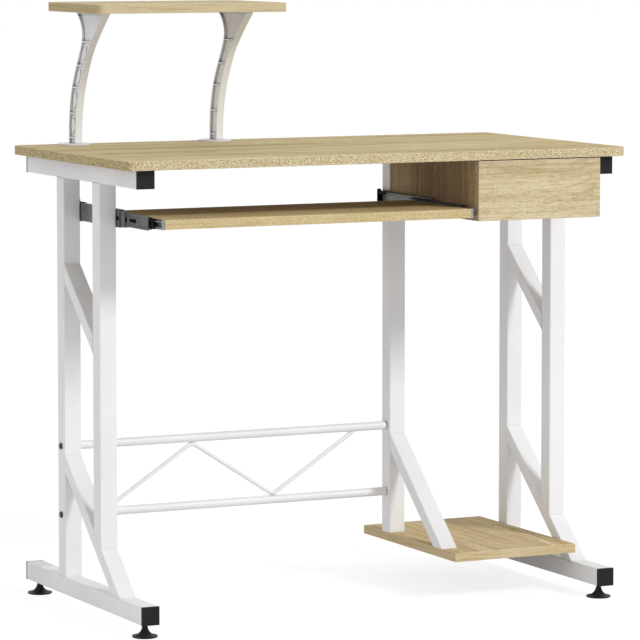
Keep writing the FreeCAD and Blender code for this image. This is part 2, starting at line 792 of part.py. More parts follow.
def drawer_screws(spare):
    """Countersunk screws through the inner runner members into the drawer's sides."""
    screws = []
    for side, face, inward in runner_faces:
        for y in (runner_front + dowel_inset, runner_rear - dowel_inset):
            seat = V(face + inward * (runner_thick - slide_sheet), y, drawer_side_mid)
            screws.append(flush_screw(seat, RIGHT * inward, slide_sheet, drawer_side_thick / 2, spare))
    return screws


def drawer_dowels(spare):
    """Dowels that join the drawer's sides to its front and back."""
    back_mid = drawer_rear - drawer_side_thick / 2
    rows = (drawer_side_mid - drawer_side_height / 4, drawer_side_mid + drawer_side_height / 4)
    dowels = []
    for x, inward in ((drawer_left, 1), (drawer_right, -1)):
        side_mid = x + inward * drawer_side_thick / 2
        blind = x + inward * (drawer_side_thick - dowel_reach - spare)
        for z in rows:
            front = V(side_mid, drawer_front_back - dowel_reach - spare, z)
            dowels.append(cylinder(dowel_radius + spare, front, BACK, 2 * (dowel_reach + spare)))
            rear = V(blind, back_mid, z)
            dowels.append(cylinder(dowel_radius + spare, rear, RIGHT * inward, 2 * (dowel_reach + spare)))
    return dowels


drawer_holes = drawer_screws(pilot_fit) + drawer_dowels(pilot_fit)


def build_runners():
    cages = []
    middle_y = (runner_front + runner_rear) / 2
    for side, face, inward in runner_faces:
        outer = channel(face, inward, drawer_side_mid, 0, runner_flange_half, (0, runner_outer_flange),
                        runner_flange_half, slide_sheet, runner_front, runner_rear)
        inner = channel(face, inward, drawer_side_mid, runner_thick - slide_sheet, runner_inner_height / 2,
                        (runner_inner_flange, runner_thick), runner_inner_half, slide_sheet,
                        runner_front, runner_rear)
        y0 = middle_y - runner_cage_length / 2
        y1 = middle_y + runner_cage_length / 2
        half = runner_ball_height + runner_cage_sheet / 2
        cage = channel(face, inward, drawer_side_mid, runner_cage_web, half,
                       (runner_cage_web, runner_cage_flange), half, runner_cage_sheet, y0, y1)
        balls = ball_row(face, inward, drawer_side_mid, runner_ball_row, runner_ball_height,
                         runner_ball_radius, runner_cage_balls, y0 + cage_end_land, y1 - cage_end_land)
        cages += cage_with_balls(cage, balls, runner_ball_radius)
        export(side + "_runner_outer_member", [outer], fixed_holes)
        export(side + "_runner_inner_member", [inner], drawer_holes)
    export("runner_ball_cages", cages)


def build_cabinet():
    """Two panels under the desktop, in front of the posts, that carry the drawer's runners."""
    for side, x in (("left", bay_left), ("right", inner_x - panel_thick)):
        panel = board(x, x + panel_thick, cabinet_front, rear_post_front, cabinet_under, desk_under)
        export("cabinet_" + side + "_panel", [panel], fixed_holes)
    export("cabinet_dowels", cabinet_dowels(0.0))


def build_drawer():
    """Front, two sides, a back between them, and a thin bottom in a groove all round."""
    top = drawer_under + drawer_side_height
    front_right = inner_x - drawer_side_gap
    front = board(bay_left, front_right, desk_front, drawer_front_back, cabinet_under, drawer_top)
    inside_left = drawer_left + drawer_side_thick
    inside_right = drawer_right - drawer_side_thick
    inside_rear = drawer_rear - drawer_side_thick
    left = box(drawer_left, inside_left, drawer_front_back, drawer_rear, drawer_under, top)
    right = box(inside_right, drawer_right, drawer_front_back, drawer_rear, drawer_under, top)
    back = box(inside_left, inside_right, inside_rear, drawer_rear, drawer_under, top)
    z0 = drawer_under + drawer_groove_lift
    z1 = z0 + drawer_bottom_thick
    x0 = inside_left - drawer_groove_depth
    x1 = inside_right + drawer_groove_depth
    y0 = drawer_front_back - drawer_groove_depth
    y1 = inside_rear + drawer_groove_depth
    fit = drawer_groove_fit
    groove = box(x0 - fit, x1 + fit, y0 - fit, y1 + fit, z0 - fit, z1 + fit)
    pieces = {"front": front, "left_side": left, "right_side": right, "back": back}
    for name, piece in pieces.items():
        export("drawer_" + name, [piece], [groove] + drawer_holes)
    export("drawer_bottom", [box(x0, x1, y0, y1, z0 - fit, z1 - fit)])
    export("drawer_screws", drawer_screws(0.0))
    export("drawer_dowels", drawer_dowels(0.0))


# Raised shelf
def bracket_place(height_share, reach_share):
    """Point of a bracket's side outline."""
    return V(0, bracket_y - reach_share * bracket_reach, desk_height + height_share * bracket_height)


def curve(points):
    spline = Part.BSplineCurve()
    spline.interpolate(points)
    return spline.toShape()


def moved(shape, by):
    copy = shape.copy()
    copy.translate(by)
    return copy


def bracket(x, outward):
    """Curved bracket on a round flange, moulded hollow from both sides: a wall all round, a web in
    the middle, ribs across, and raised leaves on the outer side. Pins on its head hold the shelf."""
    front = [bracket_place(*share) for share in bracket_front_shares]
    back = [bracket_place(*share) for share in bracket_back_shares]
    nose = bracket_place(1, bracket_nose_share)
    outline = [curve(front)]
    outline += Part.makePolygon([front[-1], nose, back[0]]).Edges
    outline += [curve(back), Part.LineSegment(back[-1], front[0]).toShape()]
    half = bracket_thick / 2
    blade = side_profile(outline, x - half, x + half)
    wide = side_profile(outline, x - bracket_thick, x + bracket_thick)
    hollow = wide.common(moved(wide, BACK * bracket_front_wall))
    hollow = hollow.common(moved(wide, -BACK * bracket_rear_wall))

    levels = [desk_height + share * bracket_height for share in bracket_rib_shares]
    bottoms = [desk_height + bracket_flange_thick] + [z + bracket_rib / 2 for z in levels]
    tops = [z - bracket_rib / 2 for z in levels] + [shelf_under - bracket_top_wall]
    whole = hollow.BoundBox
    for z0, z1 in zip(bottoms, tops):
        for side in (-1, 1):
            web_face = x + side * bracket_web / 2
            bay = box(web_face, x + side * bracket_thick, whole.YMin, whole.YMax, z0, z1)
            blade = blade.cut(hollow.common(bay))
    for z0, z1 in zip(bottoms[1:-1], tops[1:-1]):
        blade = blade.fuse(leaf(x, outward, hollow, z0 + bracket_leaf_gap, z1 - bracket_leaf_gap))

    flange = cylinder(bracket_flange_radius, V(x, bracket_y, desk_height), UP, bracket_flange_thick)
    blade = blade.fuse(flange)
    for y in bracket_pin_ys:
        blade = blade.fuse(cylinder(bracket_pin_radius, V(x, y, shelf_under), UP, bracket_pin_height))
    return blade


def leaf(x, outward, hollow, z0, z1):
    """Raised leaf on a bracket's web, pointed at both ends."""
    whole = hollow.BoundBox
    ends = []
    for z in (z0, z1):
        level = hollow.common(box(x, whole.XMax, whole.YMin, whole.YMax, z, z + bracket_rib)).BoundBox
        ends.append(V(0, level.YMin + bracket_leaf_share * level.YLength, z))
    middle = (ends[0] + ends[1]) * 0.5
    bulge = BACK * bracket_leaf_bulge
    front = Part.Arc(ends[0], middle - bulge, ends[1]).toShape()
    back = Part.Arc(ends[1], middle + bulge, ends[0]).toShape()
    return side_profile([front, back], x, x + outward * (bracket_web / 2 + bracket_leaf_height))


def build_shelf():
    half_x = shelf_width / 2
    half_y = shelf_depth / 2
    shelf = board(shelf_centre_x - half_x, shelf_centre_x + half_x, shelf_centre_y - half_y,
                  shelf_centre_y + half_y, shelf_under, shelf_height, shelf_corner_radius)
    radius = bracket_pin_radius + pilot_fit
    depth = bracket_pin_height + pilot_fit
    places = [V(x, y, shelf_under) for x in bracket_xs for y in bracket_pin_ys]
    pin_holes = [cylinder(radius, place, UP, depth) for place in places]
    export("shelf", [shelf], fixed_holes + pin_holes)
    export("left_shelf_bracket", [bracket(bracket_xs[0], -1)], fixed_holes)
    export("right_shelf_bracket", [bracket(bracket_xs[1], 1)], fixed_holes)


def build_boards():
    half_x = desk_width / 2
    half_y = desk_depth / 2
    desktop = board(-half_x, half_x, -half_y, half_y, desk_under, desk_height, desk_corner_radius)
    export("desktop", [desktop], fixed_holes)
    half = tower_board_depth / 2
    tower_board = board(bay_left, inner_x, -half, half, tower_board_under, tower_board_top)
    export("tower_board", [tower_board], fixed_holes)


build_boards()
build_side_frame("left", -post_x)
build_side_frame("right", post_x)
build_middle_leg()
build_caps_and_feet()
build_truss()
build_tray_slides()
build_tray()
build_runners()
build_cabinet()
build_drawer()
build_shelf()
export("wood_screws", wood_screws(0.0))
export("frame_bolts", frame_bolts(0.0))
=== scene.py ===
"""Looks of the computer desk: finishes for every piece, weld beads, a rivet head, the studio and the
camera. Lengths are in metres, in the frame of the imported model."""
import math
import bmesh
import bpy
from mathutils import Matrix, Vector, noise


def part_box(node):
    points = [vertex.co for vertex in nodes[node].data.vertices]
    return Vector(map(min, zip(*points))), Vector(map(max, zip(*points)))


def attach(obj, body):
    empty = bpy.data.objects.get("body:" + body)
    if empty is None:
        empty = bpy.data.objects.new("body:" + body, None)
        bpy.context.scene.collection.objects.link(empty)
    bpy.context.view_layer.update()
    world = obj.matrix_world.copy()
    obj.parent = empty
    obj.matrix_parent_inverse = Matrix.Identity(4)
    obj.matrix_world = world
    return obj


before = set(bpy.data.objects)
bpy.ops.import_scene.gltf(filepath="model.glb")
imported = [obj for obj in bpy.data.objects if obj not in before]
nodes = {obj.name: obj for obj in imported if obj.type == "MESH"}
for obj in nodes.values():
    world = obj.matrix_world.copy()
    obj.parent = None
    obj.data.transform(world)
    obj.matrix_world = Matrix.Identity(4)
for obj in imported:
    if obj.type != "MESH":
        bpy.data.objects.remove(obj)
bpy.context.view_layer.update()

# Camera, fitted to the photograph, which is 640 pixels square; angles in degrees
photo_side = 640.0
focal_pixels = 3870.96
camera_yaw = 26.07
camera_pitch = 5.02
camera_distance = 6.470
camera_side = 0.0026
camera_height = 1.1436
camera_reach = 100.0
principal_row = 256.0
sensor_width = 36.0

# Studio
world_strength = 0.60
key_size = 1.9
key_place = (3.68, -7.30, 6.2)
key_power = 495.0
fill_size = 4.0
fill_place = (-9.0, -0.8, 2.0)
fill_power = 64.0
lamp_aim = (0.0, 0.0, 0.5)
floor_size = 60.0
floor_tone = 0.80
floor_tone_seen = 0.30
floor_glow = 0.82

# Colours as they show under a plain light, in sRGB from 0 to 255
wood_face = (218, 202, 164)
wood_shade = (170, 147, 104)
wood_line = (136, 110, 71)
wood_band = (199, 181, 147)
wood_blush = (214, 180, 146)
wood_fleck = (138, 113, 74)
wood_spark = (240, 231, 206)
frame_white = (241, 241, 242)
bracket_grey = (246, 247, 249)
cap_black = (32, 32, 32)
foot_black = (30, 30, 30)
# The outer and inner members' greys are paler than the middle one's as painted light, where they stand in
# shade
slide_outer_painted_light_grey = (112, 113, 112)
slide_middle_grey = (88, 89, 88)
slide_inner_painted_light_grey = (152, 153, 152)
slide_black = (10, 10, 11)
screw_grey = (170, 170, 172)
bolt_black = (14, 14, 15)
drawer_white = (226, 222, 212)
hardboard_brown = (148, 118, 84)
beech = (206, 176, 130)

# Factors on a colour, per channel
# Ends of boards with grain along X are darkened as painted shade
wood_end_shade_factor = (0.90, 0.87, 0.76, 1.0)
# Undersides of boards are darkened to brown as painted shade
wood_underside_shade_factor = (0.46, 0.34, 0.22, 1.0)
coat_drift_factor = (0.965, 0.965, 0.965)
# Colour of the painted shade in a coat's corners and gaps
coat_corner_shade_factor = (0.45, 0.45, 0.45)
plate_cloud_factor = (0.80, 0.80, 0.80)
fibre_factor = (0.84, 0.84, 0.84)
scuff_lift = 16

# Each board: the axis of its grain, the axis through its thickness, a shift into the pattern, a factor
# on its colours, and how strong the figure of its faces and the speckle of its edges are
board_looks = {
    "desktop": dict(grain="X", facing="Z", shift=(0.0, 0.0, 0.0),
                    factor=(1.05, 1.075, 1.05), figure=1.4, speckle=1.0),
    "shelf": dict(grain="X", facing="Z", shift=(3.1, 1.7, 0.4),
                  factor=(1.05, 1.07, 1.09), figure=1.2, speckle=0.1),
    "keyboard_tray": dict(grain="X", facing="Z", shift=(6.3, 2.9, 0.8),
                          factor=(1.06, 1.06, 0.99), figure=1.1, speckle=0.4),
    "drawer_front": dict(grain="X", facing="Y", shift=(9.2, 4.1, 1.3),
                         factor=(1.015, 1.035, 1.06), figure=0.7, speckle=0.7),
    "tower_board": dict(grain="Y", facing="Z", shift=(12.7, 5.3, 1.9),
                        factor=(1.08, 1.08, 1.07), figure=1.1, speckle=0.2),
    # The cabinet panels' colours are lowered as painted shade beneath the desktop
    "cabinet_left_panel": dict(grain="Z", facing="X", shift=(15.1, 6.7, 2.2),
                               factor=(0.90, 0.86, 0.86), figure=0.9, speckle=0.5),
    "cabinet_right_panel": dict(grain="Z", facing="X", shift=(18.4, 7.9, 2.6),
                                factor=(0.90, 0.86, 0.86), figure=0.9, speckle=0.5),
}

# Shares of a board's normal, where masks start and are full
face_lean = (0.65, 0.85)
end_lean = (0.3, 0.95)
rounding_lean = (0.15, 0.97)
underside_lean = -0.75

# Noise layers of the oak foil: scales along the grain, across it and through the board, a shift, detail
# and roughness
foil_layers = {
    "bands": ((1.3, 38.0, 38.0), (7, 3, 5), 3.0, 0.5),
    "drift": ((1.6, 13.0, 13.0), (0, 0, 0), 3.0, 0.5),
    "blush": ((2.4, 45.0, 45.0), (6, 1, 9), 3.0, 0.5),
    "swirl": ((4.5, 10.0, 10.0), (4, 2, 1), 2.0, 0.4),
    "veins": ((1.4, 85.0, 85.0), (8, 6, 7), 2.0, 0.5),
    "ring patches": ((4.0, 19.0, 19.0), (1, 7, 3), 2.0, 0.5),
    "streaks": ((5.5, 150.0, 150.0), (0, 0, 0), 4.0, 0.6),
    "threads": ((16.0, 330.0, 330.0), (9, 1, 4), 3.0, 0.6),
    "flecks": ((75.0, 350.0, 350.0), (5, 8, 2), 3.0, 0.65),
    "pores": ((110.0, 780.0, 780.0), (0, 0, 0), 2.0, 0.6),
    "cross marks": ((620.0, 60.0, 60.0), (0, 0, 0), 2.0, 0.6),
    "mark patches": ((26.0, 14.0, 14.0), (2, 5, 8), 2.0, 0.5),
    "edge clouds": ((20.0, 20.0, 90.0), (2, 9, 0), 2.0, 0.5),
    "edge fibres": ((11.0, 11.0, 370.0), (3, 6, 0), 3.0, 0.6),
    "dashes": ((300.0, 300.0, 560.0), (6, 3, 0), 2.0, 0.5),
    "specks": ((470.0, 470.0, 700.0), (1, 4, 7), 2.0, 0.5),
    "sparks": ((380.0, 380.0, 600.0), (5, 2, 6), 2.0, 0.5),
}
ring_frequency = 430.0
ring_wobble = 60.0

# Where a layer starts to show and where it is full
layer_ramps = {
    "blush": (0.48, 0.68),
    "drift": (0.3, 0.7),
    "bands": (0.44, 0.66),
    "veins": (0.57, 0.70),
    "streaks": (0.46, 0.72),
    "threads": (0.50, 0.70),
    "flecks": (0.52, 0.68),
    "pores": (0.55, 0.70),
    "ring waves": (0.1, 1.0),
    "ring patches": (0.42, 0.68),
    "cross marks": (0.54, 0.72),
    "mark patches": (0.48, 0.62),
    "edge clouds": (0.35, 0.65),
    "edge fibres": (0.48, 0.68),
    "dashes": (0.50, 0.64),
    "specks": (0.52, 0.64),
    "sparks": (0.53, 0.64),
}

# Tints of a face in their order: mask, amount, colour, and whether the board's figure strengthens it
face_tints = (
    ("blush", 0.20, wood_blush, False),
    ("drift", 0.40, wood_shade, False),
    ("bands", 0.55, wood_shade, True),
    ("rings", 0.42, wood_line, True),
    ("veins", 0.50, wood_line, True),
    ("streaks", 0.60, wood_shade, False),
    ("threads", 0.55, wood_shade, False),
    ("flecks", 0.40, wood_line, False),
    ("pores", 0.45, wood_line, False),
    ("marks", 0.38, wood_spark, False),
)

# Tints of an edge: clouds, fibres that fade where there is speckle, then the speckle itself
edge_cloud_amount = 0.22
edge_fibre_amount = 0.80
edge_fibre_fade = 0.35
speckle_tints = (
    ("dashes", 0.75, wood_fleck),
    ("specks", 0.85, wood_fleck),
    ("sparks", 0.90, wood_spark),
)
# Rounded edges are drawn paler as a painted highlight
rounding_highlight_amount = 0.35

# Surface of each finish. A bump is a strength and a depth, and a layer's roughness is what it adds
foil_gloss = 0.05
foil_bump = (0.20, 0.0002)
foil_roughness = 0.55
pore_roughness = 0.14
coat_drift_scale = 7.0
coat_drift_ramp = (0.35, 0.7)
coat_bump_strength = 0.35
peel_roughness = 0.10
plastic_grain_scale = 1500.0
plastic_bump = (0.3, 0.00008)
scuff_scales = (60.0, 240.0, 60.0)
scuff_ramp = (0.62, 0.8)
scuff_roughness = 0.15
plate_cloud_scale = 55.0
plate_cloud_ramp = (0.35, 0.7)
plate_bump = (0.15, 0.00005)
plate_gloss = 0.5
plate_recess = (0.006, 0.9, 0.5)
cloud_roughness = 0.22
rolled_along_y = (700.0, 4.0, 700.0)
brushed_evenly = (300.0, 300.0, 300.0)
slide_metal = 0.2
slide_roughness = 0.28
fibre_scales = (300.0, 60.0, 300.0)
fibre_ramp = (0.35, 0.65)
fibre_bump = (0.3, 0.0002)
fibre_gloss = 0.2
fibre_roughness = 0.7

# Weld beads
bead_radius = 0.0011
bead_sides = 8
bead_step = 0.0011
bead_least_steps = 6
bead_ripple = 0.16
bead_wave = 2.1
bead_noise_scale = 700
bead_tip_share = 0.25
bead_taper = 0.4
bead_end_gap = 0.0024
brace_angle = math.radians(41.8)
brace_depth = 0.022

# Rivet
rivet_radius = 0.0034
rivet_height = 0.0026
rivet_rings = 6
rivet_sides = 20
rivet_crown_share = 0.12


# Node helpers
def linear(colour, factor=(1.0, 1.0, 1.0)):
    """Linear colour with alpha from sRGB numbers of 0 to 255."""
    out = []
    for c, share in zip(colour, factor):
        c = c * share / 255
        out.append(c / 12.92 if c <= 0.04045 else ((c + 0.055) / 1.055) ** 2.4)
    return (*out, 1.0)


class Graph:
    """A material's node graph, with short calls for the nodes used here."""

    def __init__(self, name):
        self.material = bpy.data.materials.new(name)
        self.material.use_nodes = True
        self.tree = self.material.node_tree
        self.shader = self.tree.nodes["Principled BSDF"]

    def node(self, kind, **settings):
        made = self.tree.nodes.new(kind)
        for key, value in settings.items():
            setattr(made, key, value)
        return made

    def put(self, socket, value):
        """Link a socket's value, or set it."""
        if isinstance(value, bpy.types.NodeSocket):
            self.tree.links.new(value, socket)
        else:
            socket.default_value = value

    def feed(self, made, **inputs):
        for key, value in inputs.items():
            self.put(made.inputs[key.replace("_", " ")], value)
        return made

    def place(self):
        """Coordinates that ride with the piece."""
        return self.node("ShaderNodeTexCoord").outputs["Object"]

    def parts(self, vector):
        """The X, Y and Z of a vector."""
        return self.feed(self.node("ShaderNodeSeparateXYZ"), Vector=vector).outputs

    def recess(self, reach, open_level=0.9, deep_level=0.4):
        """0 in the open and 1 in gaps and corners narrower than the reach; the levels are shares of the
        open sky above a point."""
        made = self.node("ShaderNodeAmbientOcclusion", samples=8)
        made.inputs["Distance"].default_value = reach
        return self.ramp(made.outputs["AO"], open_level, deep_level)

    def scaled(self, vector, scale, shift=(0, 0, 0)):
        made = self.node("ShaderNodeMapping")
        return self.feed(made, Vector=vector, Scale=scale, Location=shift).outputs["Vector"]

    def noise(self, vector, scale=1.0, detail=2.0, roughness=0.5):
        made = self.node("ShaderNodeTexNoise")
        self.feed(made, Vector=vector, Scale=scale, Detail=detail, Roughness=roughness)
        return made.outputs["Fac"]

    def ramp(self, value, low, high):
        """Value stretched so that low becomes 0 and high becomes 1."""
        made = self.node("ShaderNodeMapRange")
        made.inputs["From Min"].default_value = low
        made.inputs["From Max"].default_value = high
        return self.feed(made, Value=value).outputs["Result"]

    def math(self, operation, a, b=0.0, c=0.0):
        made = self.node("ShaderNodeMath", operation=operation)
        for socket, value in zip(made.inputs, (a, b, c)):
            self.put(socket, value)
        return made.outputs["Value"]

    def mix(self, factor, a, b, blend="MIX"):
        """Colour between a and b."""
        made = self.node("ShaderNodeMix", data_type="RGBA", blend_type=blend)
        for index, value in ((0, factor), (6, a), (7, b)):
            self.put(made.inputs[index], value)
        return made.outputs[2]

    def tint(self, tone, amount, mask, colour):
        """Tone drawn towards a colour, by an amount where the mask is 1."""
        return self.mix(self.math("MULTIPLY", mask, amount), tone, colour)

    def bump(self, height, strength, distance):
        made = self.node("ShaderNodeBump")
        self.feed(made, Strength=strength, Distance=distance, Height=height)
        self.put(self.shader.inputs["Normal"], made.outputs["Normal"])

    def finish(self, gloss, **inputs):
        self.shader.inputs["Specular IOR Level"].default_value = gloss
        self.feed(self.shader, **inputs)
        return self.material


# Finishes
def board_axes(graph, grain, facing, shift):
    """Coordinates with X along a board's grain and Z through its thickness, and masks for its faces, its
    ends, its underside and its rounded edges."""
    place = graph.parts(graph.place())
    normal = graph.parts(graph.node("ShaderNodeTexCoord").outputs["Normal"])
    cross = next(k for k in "XYZ" if k not in (grain, facing))
    turned = graph.node("ShaderNodeCombineXYZ")
    graph.feed(turned, X=place[grain], Y=place[cross], Z=place[facing])
    level = graph.math("ABSOLUTE", normal[facing])
    on_face = graph.ramp(level, *face_lean)
    on_end = graph.ramp(graph.math("ABSOLUTE", normal["X"]), *end_lean)
    below = graph.math("LESS_THAN", normal["Z"], underside_lean)
    past_edge = graph.math("GREATER_THAN", level, rounding_lean[0])
    before_face = graph.math("LESS_THAN", level, rounding_lean[1])
    rounding = graph.math("MULTIPLY", past_edge, before_face)
    return graph.scaled(turned.outputs["Vector"], (1, 1, 1), shift), on_face, on_end, below, rounding


def board_foil(name, grain, facing, shift, factor, figure, speckle):
    """Pale oak foil: growth rings, streaks, pores and cross marks on the faces, fibres and speckle on the
    edges, darker ends as painted shade, a painted highlight on rounded edges, and the underside darkened
    to brown as painted shade."""
    graph = Graph(name)
    place, on_face, on_end, below, rounding = board_axes(graph, grain, facing, shift)
    layers = {}
    for key, (scales, move, detail, roughness) in foil_layers.items():
        layers[key] = graph.noise(graph.scaled(place, scales, move), detail=detail, roughness=roughness)
    across = graph.math("MULTIPLY", graph.parts(place)["Y"], ring_frequency)
    wobble = graph.math("MULTIPLY_ADD", layers["swirl"], ring_wobble, across)
    layers["ring waves"] = graph.math("SINE", wobble)
    mask = {key: graph.ramp(layers[key], low, high) for key, (low, high) in layer_ramps.items()}
    mask["rings"] = graph.math("MULTIPLY", mask["ring waves"], mask["ring patches"])
    mask["marks"] = graph.math("MULTIPLY", mask["cross marks"], mask["mark patches"])

    tone = linear(wood_face, factor)
    for key, amount, colour, by_figure in face_tints:
        strength = amount * figure if by_figure else amount
        tone = graph.tint(tone, strength, mask[key], linear(colour, factor))

    shade = linear(wood_shade, factor)
    band = graph.tint(linear(wood_band, factor), edge_cloud_amount, mask["edge clouds"], shade)
    band = graph.tint(band, edge_fibre_amount - edge_fibre_fade * speckle, mask["edge fibres"], shade)
    for key, amount, colour in speckle_tints:
        band = graph.tint(band, amount * speckle, mask[key], linear(colour))
    # Ends of boards with grain along X are darkened as painted shade
    if grain == "X":
        band = graph.mix(on_end, band, wood_end_shade_factor, "MULTIPLY")

    tone = graph.mix(on_face, band, tone)
    # Rounded edges are drawn towards a pale colour as a painted highlight
    tone = graph.tint(tone, rounding_highlight_amount, rounding, linear(wood_spark))
    # Undersides are darkened to brown as painted shade
    tone = graph.mix(below, tone, wood_underside_shade_factor, "MULTIPLY")
    graph.bump(graph.math("ADD", layers["pores"], layers["streaks"]), *foil_bump)
    rough = graph.math("MULTIPLY_ADD", layers["pores"], pore_roughness, foil_roughness)
    return graph.finish(foil_gloss, Base_Color=tone, Roughness=rough)


def powder_coat(name, colour, texture=900.0, depth=0.00006, roughness=0.37, gloss=0.4,
                reach=0.004, corner_shade=0.35):
    """Sprayed coat with a fine orange peel, a faint drift of tone and painted shade that greys its
    corners and gaps.
    """
    graph = Graph(name)
    place = graph.place()
    peel = graph.noise(place, scale=texture, detail=2.0)
    drift = graph.ramp(graph.noise(place, scale=coat_drift_scale, detail=3.0), *coat_drift_ramp)
    tone = graph.tint(linear(colour), 1.0, drift, linear(colour, coat_drift_factor))
    # Corners and gaps narrower than the reach are greyed as painted shade
    tone = graph.tint(tone, corner_shade, graph.recess(reach), linear(colour, coat_corner_shade_factor))
    graph.bump(peel, coat_bump_strength, depth)
    rough = graph.math("MULTIPLY_ADD", peel, peel_roughness, roughness)
    return graph.finish(gloss, Base_Color=tone, Roughness=rough)


def moulded_plastic(name, colour, roughness=0.42, gloss=0.15):
    """Moulded plastic with a spark-eroded grain and a few paler scuffs."""
    graph = Graph(name)
    place = graph.place()
    grain = graph.noise(place, scale=plastic_grain_scale, detail=3.0, roughness=0.6)
    scuffs = graph.noise(graph.scaled(place, scuff_scales), detail=5.0, roughness=0.7)
    paler = tuple(min(255, c + scuff_lift) for c in colour)
    tone = graph.tint(linear(colour), 1.0, graph.ramp(scuffs, *scuff_ramp), linear(paler))
    graph.bump(grain, *plastic_bump)
    rough = graph.math("MULTIPLY_ADD", scuffs, scuff_roughness, roughness)
    return graph.finish(gloss, Base_Color=tone, Roughness=rough)


def plated_steel(name, colour, rolling, metal, roughness, recess_shade=0.85):
    """Zinc-plated steel with rolling lines along its length, soft cloudy spots, and corners, grooves and
    holes darkened as painted shade."""
    graph = Graph(name)
    place = graph.place()
    lines = graph.noise(graph.scaled(place, rolling), detail=4.0, roughness=0.6)
    clouds = graph.noise(place, scale=plate_cloud_scale, detail=4.0, roughness=0.6)
    cloudy = linear(colour, plate_cloud_factor)
    tone = graph.tint(linear(colour), 1.0, graph.ramp(clouds, *plate_cloud_ramp), cloudy)
    # Corners, grooves and holes are darkened towards black as painted shade
    tone = graph.tint(tone, recess_shade, graph.recess(*plate_recess), linear(slide_black))
    graph.bump(lines, *plate_bump)
    rough = graph.math("MULTIPLY_ADD", clouds, cloud_roughness, roughness)
    return graph.finish(plate_gloss, Base_Color=tone, Roughness=rough, Metallic=metal)


def plain_fibre(name, colour):
    """Unfinished wood fibre, as on dowels and the drawer's hardboard bottom."""
    graph = Graph(name)
    fibre = graph.noise(graph.scaled(graph.place(), fibre_scales), detail=5.0, roughness=0.7)
    darker = linear(colour, fibre_factor)
    tone = graph.tint(linear(colour), 1.0, graph.ramp(fibre, *fibre_ramp), darker)
    graph.bump(fibre, *fibre_bump)
    return graph.finish(fibre_gloss, Base_Color=tone, Roughness=fibre_roughness)


def dress(names, material):
    """Give CAD nodes a finish."""
    for name in names:
        for slot in nodes[name].material_slots:
            slot.material = material


def named(*endings):
    """Nodes whose names end with one of these."""
    return [name for name in nodes if name.endswith(endings)]


def dress_slides(black):
    """The tray's slides and the drawer's runners: outer, middle and inner members, cages and stops."""
    # Each steel: name, grey, strength of the painted shade in its recesses, and members
    steels = (
        # The outer and inner greys are paler than the middle one as painted light
        ("plated_outer_steel", slide_outer_painted_light_grey, 0.85,
         named("_member", "slide_outer_ball_cages", "runner_ball_cages")),
        ("plated_middle_steel", slide_middle_grey, 0.85, named("_slide_middle_member")),
        ("plated_inner_steel", slide_inner_painted_light_grey, 0.1, named("_slide_inner_member")),
    )
    for name, colour, recess_shade, members in steels:
        dress(members, plated_steel(name, colour, rolled_along_y, slide_metal, slide_roughness, recess_shade))
    dress(named("slide_inner_ball_cages", "slide_rear_stops"), black)


def dress_nodes(paint, black):
    """Give every CAD node its finish."""
    for name, looks in board_looks.items():
        dress([name], board_foil("foil_" + name, **looks))
    dress(named("_rail", "_post", "_brace", "_rod") + ["middle_top_plate"], paint)
    # The brackets' recesses get a stronger painted shade
    bracket_coat = powder_coat("bracket_coat", bracket_grey, texture=1200.0, depth=0.00008,
                               roughness=0.33, reach=0.005, corner_shade=0.6)
    dress(named("_shelf_bracket"), bracket_coat)
    dress(named("_end_caps") + ["middle_leg_plugs"], moulded_plastic("cap_plastic", cap_black))
    dress(named("_levelling_foot"), moulded_plastic("foot_plastic", foot_black, roughness=0.38))
    dress_slides(black)
    screws = plated_steel("screw_steel", screw_grey, brushed_evenly, metal=0.85, roughness=0.2)
    dress(named("_screws", "foot_nuts"), screws)
    bolts = powder_coat("bolt_coat", bolt_black, texture=1600.0, depth=0.00004, roughness=0.25, gloss=0.5)
    dress(["frame_bolts"], bolts)
    drawer_foil = powder_coat("drawer_foil", drawer_white, texture=500.0)
    dress(["drawer_left_side", "drawer_right_side", "drawer_back"], drawer_foil)
    dress(["drawer_bottom"], plain_fibre("hardboard", hardboard_brown))
    dress(["cabinet_dowels", "drawer_dowels"], plain_fibre("beech", beech))


# Small pieces that scene.py adds
def circle(centre, side, up, radius, sides):
    """Points round a centre."""
    turns = [2 * math.pi * k / sides for k in range(sides)]
    return [centre + (side * math.cos(turn) + up * math.sin(turn)) * radius for turn in turns]


def add_skin(form, rings):
    """Closed skin over rings of points, with a flat face at each end."""
    made = [[form.verts.new(point) for point in ring] for ring in rings]
    form.faces.new(made[0][::-1])
    for before, after in zip(made, made[1:]):
        for corners in zip(before, before[1:] + before[:1], after[1:] + after[:1], after):
            form.faces.new(corners)
    form.faces.new(made[-1])


def add_object(name, form, material, flat_ends=False):
    """Object of a form, which is shaded smooth, apart from its end faces if they are flat."""
    mesh = bpy.data.meshes.new(name)
    form.to_mesh(mesh)
    form.free()
    for face in mesh.polygons:
        face.use_smooth = len(face.vertices) == 4 or not flat_ends
    mesh.materials.append(material)
    made = bpy.data.objects.new(name, mesh)
    bpy.context.scene.collection.objects.link(made)
    return made


def add_bead(form, start, end):
    """A lumpy round bead between two points, closed and drawn in at both ends."""
    along = (end - start).normalized()
    side = along.orthogonal().normalized()
    up = along.cross(side)
    count = max(bead_least_steps, round((end - start).length / bead_step))
    rings = []
    for k in range(count + 1):
        centre = start.lerp(end, k / count)
        lumps = math.sin(k * bead_wave) + noise.noise(centre * bead_noise_scale)
        drawn_in = min(1.0, bead_tip_share + bead_taper * min(k, count - k))
        radius = bead_radius * (1 + bead_ripple * lumps) * drawn_in
        rings.append(circle(centre, side, up, radius, bead_sides))
    add_skin(form, rings)


def brace_corners(y, upper_z):
    """Where a brace's upper and lower sides meet an upright at y."""
    return [(y, upper_z), (y, upper_z - brace_depth / math.cos(brace_angle))]


